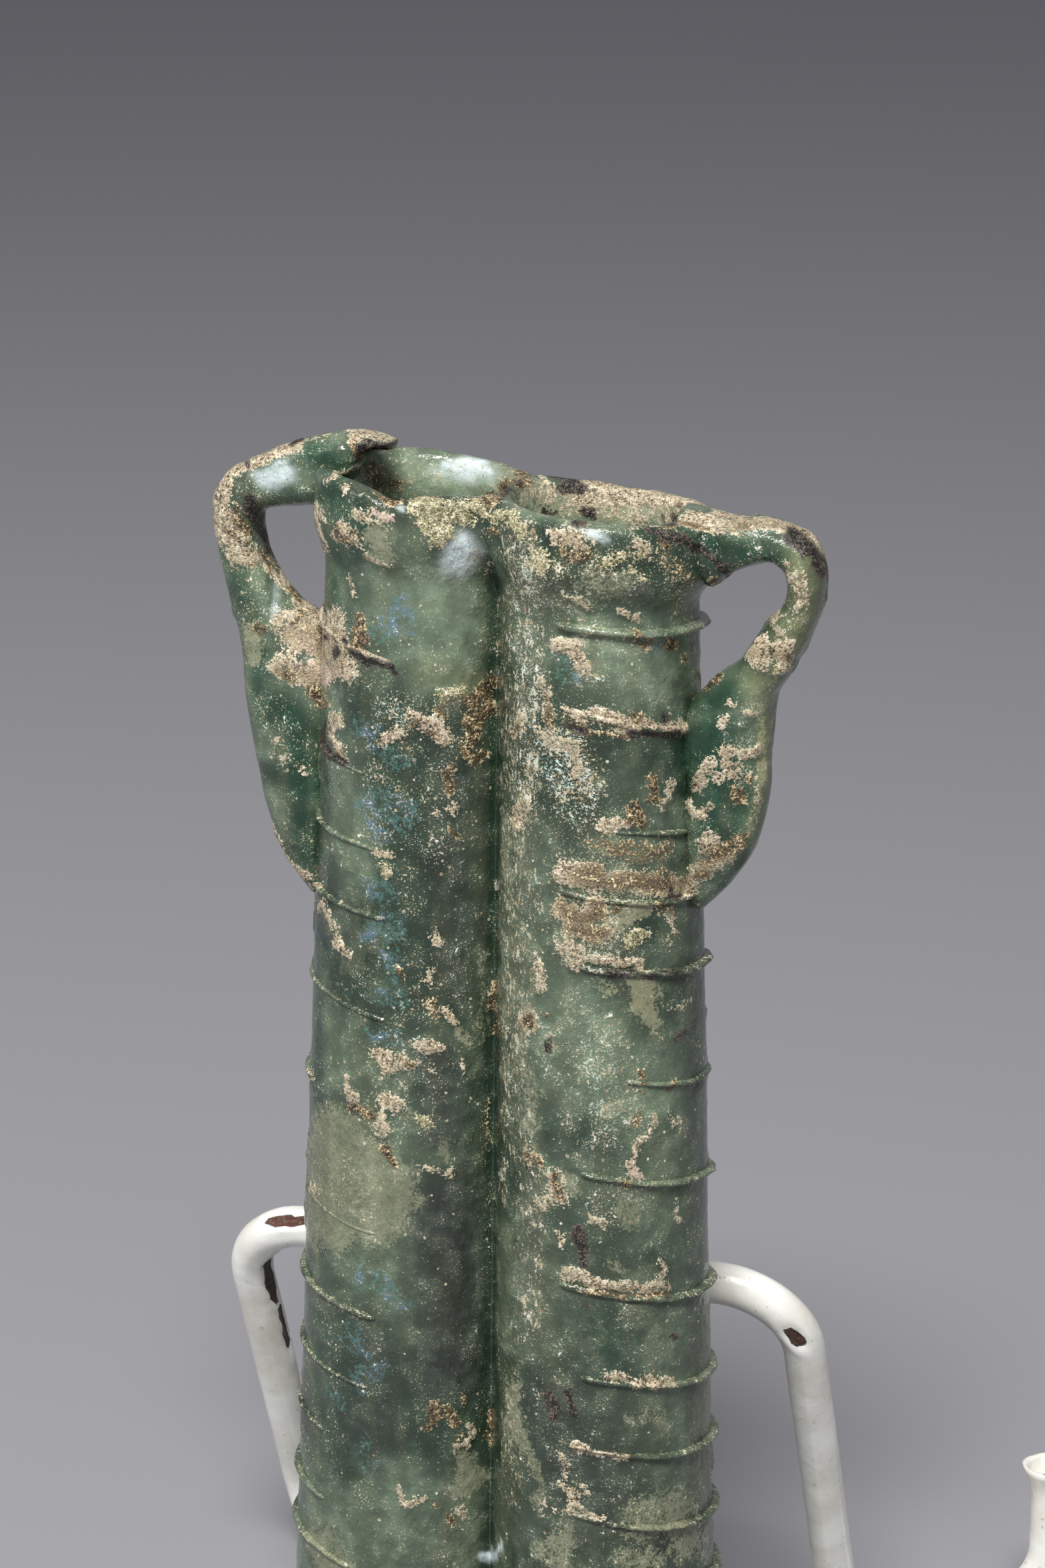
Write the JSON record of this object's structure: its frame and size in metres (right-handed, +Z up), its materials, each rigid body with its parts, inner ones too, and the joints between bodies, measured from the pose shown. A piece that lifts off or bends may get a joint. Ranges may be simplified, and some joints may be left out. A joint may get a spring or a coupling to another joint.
{
  "type": "double glass unguentarium on a wire stand",
  "caption": "Late Roman double glass unguentarium with handles and wound thread, standing in a bent coated wire stand.",
  "frame": {"origin": "middle of the vessel's flat foot, on the surface that the vessel and its stand rest on", "axes": "+X from the left tube to the right tube, +Y to the back, towards the stand's bar, +Z up along the tubes"},
  "size_m": [0.0904, 0.0663, 0.1397],
  "materials": {
    "aged_glass": "weathered and iridescent",
    "white_coating": "satin plastic coating, chipped"
  },
  "bodies": {
    "root": {"double_unguentarium": "aged_glass", "wire_stand": "white_coating"}
  },
  "joints": []
}
